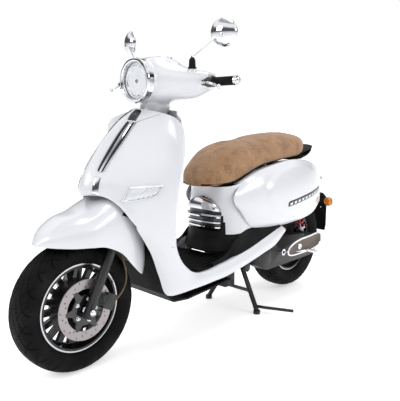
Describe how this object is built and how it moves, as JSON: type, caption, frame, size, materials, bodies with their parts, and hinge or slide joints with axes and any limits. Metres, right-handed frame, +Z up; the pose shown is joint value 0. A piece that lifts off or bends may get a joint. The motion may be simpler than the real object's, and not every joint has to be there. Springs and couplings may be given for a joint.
{
  "type": "moped scooter",
  "caption": "Step-through moped scooter with rounded leg shield, round headlamp, padded two-person seat, telescopic fork, swinging engine unit and a folding centre stand.",
  "frame": {"origin": "middle of the footprint on the floor: halfway along the scooter, on its middle plane", "axes": "+Z up; the scooter faces -Y; +X is its own left side"},
  "size_m": [0.6844, 1.84, 1.262],
  "materials": {
    "belly_pan": "black",
    "brake_caliper": "black cast",
    "brake_hose": "black hose",
    "centre_stand": "satin black",
    "column_grille": "chrome bars on black",
    "drive_case": "black cast",
    "engine_case": "cast",
    "floor_board": "ribbed black",
    "fork_sliders": "satin black",
    "front_axle": "plated steel",
    "front_brake_disc": "machined steel",
    "front_fender": "cool white gloss paint",
    "front_rim": "black with a polished lip",
    "front_turn_signals": "clear ribbed lens",
    "front_tyre": "rubber",
    "fuel_tank": "black",
    "handlebar": "black",
    "headlight_bezel": "polished",
    "headlight_lens": "clear",
    "headlight_reflector": "mirror",
    "headset_cover": "cool white gloss paint",
    "horn_button": "black",
    "ignition_key": "steel",
    "ignition_lock": "polished",
    "inner_leg_shield": "white",
    "instrument_cluster": "dial under a clear face",
    "kick_lever": "plated",
    "left_brake_lever": "polished",
    "left_grip": "black rubber",
    "left_mirror_head": "polished shell",
    "left_mirror_stem": "chrome with a rubber boot",
    "left_side_cowl": "cool white gloss paint",
    "leg_shield": "cool white gloss paint",
    "luggage_bucket": "black",
    "main_frame": "satin black powder coat",
    "muffler": "heat-proof black",
    "rear_axle": "steel",
    "rear_carrier": "white and satin black cast grab handle",
    "rear_mudguard": "black",
    "rear_rim": "black with a polished lip",
    "rear_turn_signals": "amber lens on a black stalk",
    "rear_tyre": "rubber",
    "right_brake_lever": "polished",
    "right_mirror_head": "polished shell",
    "right_mirror_stem": "chrome with a rubber boot",
    "right_side_cowl": "cool white gloss paint",
    "seat_base": "black",
    "seat_column": "cool white gloss paint",
    "seat_cushion": "tan suede cover over foam",
    "shock_body": "black",
    "shock_rod": "steel",
    "shock_spring": "red",
    "side_rails": "cool white gloss paint",
    "starter_button": "red",
    "steering_stem": "satin black",
    "switch_housings": "black",
    "tail_cover": "cool white gloss paint",
    "tail_light": "red lens",
    "throttle_grip": "black rubber",
    "turn_switch": "black"
  },
  "bodies": {
    "chassis": {"main_frame": "main_frame", "leg_shield": "leg_shield", "side_rails": "side_rails", "front_turn_signals": "front_turn_signals", "inner_leg_shield": "inner_leg_shield", "ignition_lock": "ignition_lock", "floor_board": "floor_board", "belly_pan": "belly_pan", "seat_column": "seat_column", "column_grille": "column_grille", "left_side_cowl": "left_side_cowl", "right_side_cowl": "right_side_cowl", "tail_cover": "tail_cover", "tail_light": "tail_light", "rear_carrier": "rear_carrier", "rear_mudguard": "rear_mudguard", "rear_turn_signals": "rear_turn_signals", "luggage_bucket": "luggage_bucket", "fuel_tank": "fuel_tank"},
    "steering": {"steering_stem": "steering_stem", "handlebar": "handlebar", "headset_cover": "headset_cover", "headlight_bezel": "headlight_bezel", "headlight_lens": "headlight_lens", "headlight_reflector": "headlight_reflector", "instrument_cluster": "instrument_cluster", "switch_housings": "switch_housings", "left_grip": "left_grip", "front_fender": "front_fender", "brake_hose": "brake_hose"},
    "throttle": {"throttle_grip": "throttle_grip"},
    "left_lever": {"left_brake_lever": "left_brake_lever"},
    "right_lever": {"right_brake_lever": "right_brake_lever"},
    "horn_switch": {"horn_button": "horn_button"},
    "starter_switch": {"starter_button": "starter_button"},
    "signal_switch": {"turn_switch": "turn_switch"},
    "left_mirror_arm": {"left_mirror_stem": "left_mirror_stem"},
    "right_mirror_arm": {"right_mirror_stem": "right_mirror_stem"},
    "left_mirror": {"left_mirror_head": "left_mirror_head"},
    "right_mirror": {"right_mirror_head": "right_mirror_head"},
    "key": {"ignition_key": "ignition_key"},
    "fork_lower": {"fork_sliders": "fork_sliders", "front_axle": "front_axle", "brake_caliper": "brake_caliper"},
    "front_wheel": {"front_tyre": "front_tyre", "front_rim": "front_rim", "front_brake_disc": "front_brake_disc"},
    "engine_unit": {"engine_case": "engine_case", "drive_case": "drive_case", "muffler": "muffler"},
    "rear_wheel": {"rear_tyre": "rear_tyre", "rear_rim": "rear_rim", "rear_axle": "rear_axle"},
    "kick_start": {"kick_lever": "kick_lever"},
    "shock_upper": {"shock_body": "shock_body", "shock_spring": "shock_spring"},
    "shock_lower": {"shock_rod": "shock_rod"},
    "stand": {"centre_stand": "centre_stand"},
    "seat": {"seat_cushion": "seat_cushion", "seat_base": "seat_base"}
  },
  "joints": [
    {"name": "steer", "type": "hinge", "parent": "chassis", "child": "steering", "pos_m": [0, -0.45257, 0.62373], "axis": [0, 0.454, 0.891], "range_deg": [-20, 20]},
    {"name": "fork_travel", "type": "slide", "parent": "steering", "child": "fork_lower", "axis": [0, 0.454, 0.891], "range_m": [0, 0.06], "stiffness_N_per_m": 9000, "springref_m": -0.06, "deforming": ["brake_hose"]},
    {"name": "front_wheel_spin", "type": "hinge", "parent": "fork_lower", "child": "front_wheel", "pos_m": [0, -0.6836, 0.2364], "axis": [1, 0, 0], "continuous": true},
    {"name": "throttle_twist", "type": "hinge", "parent": "steering", "child": "throttle", "pos_m": [-0.28, -0.19887, 1.03509], "axis": [-0.9792, 0.2003, 0.0312], "range_deg": [0, 75], "stiffness_Nm_per_rad": 0.35, "springref_deg": -17.19},
    {"name": "left_brake_pull", "type": "hinge", "parent": "steering", "child": "left_lever", "pos_m": [0.224, -0.24333, 1.02931], "axis": [0, 0, 1], "range_deg": [0, 14], "stiffness_Nm_per_rad": 2, "springref_deg": -11.46},
    {"name": "right_brake_pull", "type": "hinge", "parent": "steering", "child": "right_lever", "pos_m": [-0.224, -0.24333, 1.02931], "axis": [0, 0, -1], "range_deg": [0, 14], "stiffness_Nm_per_rad": 2, "springref_deg": -11.46},
    {"name": "horn_press", "type": "slide", "parent": "steering", "child": "horn_switch", "axis": [0, -1, 0], "range_m": [0, 0.0012], "stiffness_N_per_m": 400, "springref_m": -0.002},
    {"name": "starter_press", "type": "slide", "parent": "steering", "child": "starter_switch", "axis": [0, -1, 0], "range_m": [0, 0.0012], "stiffness_N_per_m": 400, "springref_m": -0.002},
    {"name": "turn_signal_slide", "type": "slide", "parent": "steering", "child": "signal_switch", "axis": [1, 0, 0], "range_m": [-0.003, 0.003]},
    {"name": "left_mirror_swivel", "type": "hinge", "parent": "steering", "child": "left_mirror_arm", "pos_m": [0.16, -0.2436, 1.084], "axis": [0, 0, 1], "range_deg": [-10, 25]},
    {"name": "right_mirror_swivel", "type": "hinge", "parent": "steering", "child": "right_mirror_arm", "pos_m": [-0.16, -0.2436, 1.084], "axis": [0, 0, -1], "range_deg": [-10, 25]},
    {"name": "left_mirror_tilt", "type": "hinge", "parent": "left_mirror_arm", "child": "left_mirror", "pos_m": [0.265, -0.1986, 1.207], "axis": [1, 0, 0], "range_deg": [-12, 12]},
    {"name": "right_mirror_tilt", "type": "hinge", "parent": "right_mirror_arm", "child": "right_mirror", "pos_m": [-0.265, -0.1986, 1.207], "axis": [1, 0, 0], "range_deg": [-12, 12]},
    {"name": "key_turn", "type": "hinge", "parent": "chassis", "child": "key", "pos_m": [-0.062, -0.2586, 0.8], "axis": [0, 1, 0], "range_deg": [0, 90]},
    {"name": "engine_swing", "type": "hinge", "parent": "chassis", "child": "engine_unit", "pos_m": [0, 0.2214, 0.385], "axis": [1, 0, 0], "range_deg": [0, 9], "stiffness_Nm_per_rad": 1800, "springref_deg": -6.88},
    {"name": "rear_wheel_spin", "type": "hinge", "parent": "engine_unit", "child": "rear_wheel", "pos_m": [0, 0.6314, 0.2584], "axis": [1, 0, 0], "continuous": true},
    {"name": "kick_start_push", "type": "hinge", "parent": "engine_unit", "child": "kick_start", "pos_m": [0.17, 0.3664, 0.266], "axis": [-1, 0, 0], "range_deg": [0, 40], "stiffness_Nm_per_rad": 6, "springref_deg": -28.65},
    {"name": "shock_tilt", "type": "hinge", "parent": "chassis", "child": "shock_upper", "pos_m": [0.112, 0.5564, 0.598], "axis": [1, 0, 0], "range_deg": [0, 3.88]},
    {"name": "shock_stroke", "type": "slide", "parent": "shock_upper", "child": "shock_lower", "axis": [0, -0.1609, 0.987], "range_m": [0, 0.05861], "deforming": ["shock_spring"]},
    {"name": "stand_fold", "type": "hinge", "parent": "chassis", "child": "stand", "pos_m": [0, 0.2214, 0.198], "axis": [1, 0, 0], "range_deg": [0, 72]},
    {"name": "seat_open", "type": "hinge", "parent": "chassis", "child": "seat", "pos_m": [0, 0.0164, 0.6], "axis": [1, 0, 0], "range_deg": [0, 65]}
  ],
  "couplings": [
    {"joint": "shock_tilt", "follows": "engine_swing", "ratio": 0.42562},
    {"joint": "shock_stroke", "follows": "engine_swing", "m_per_rad": 0.36993}
  ]
}
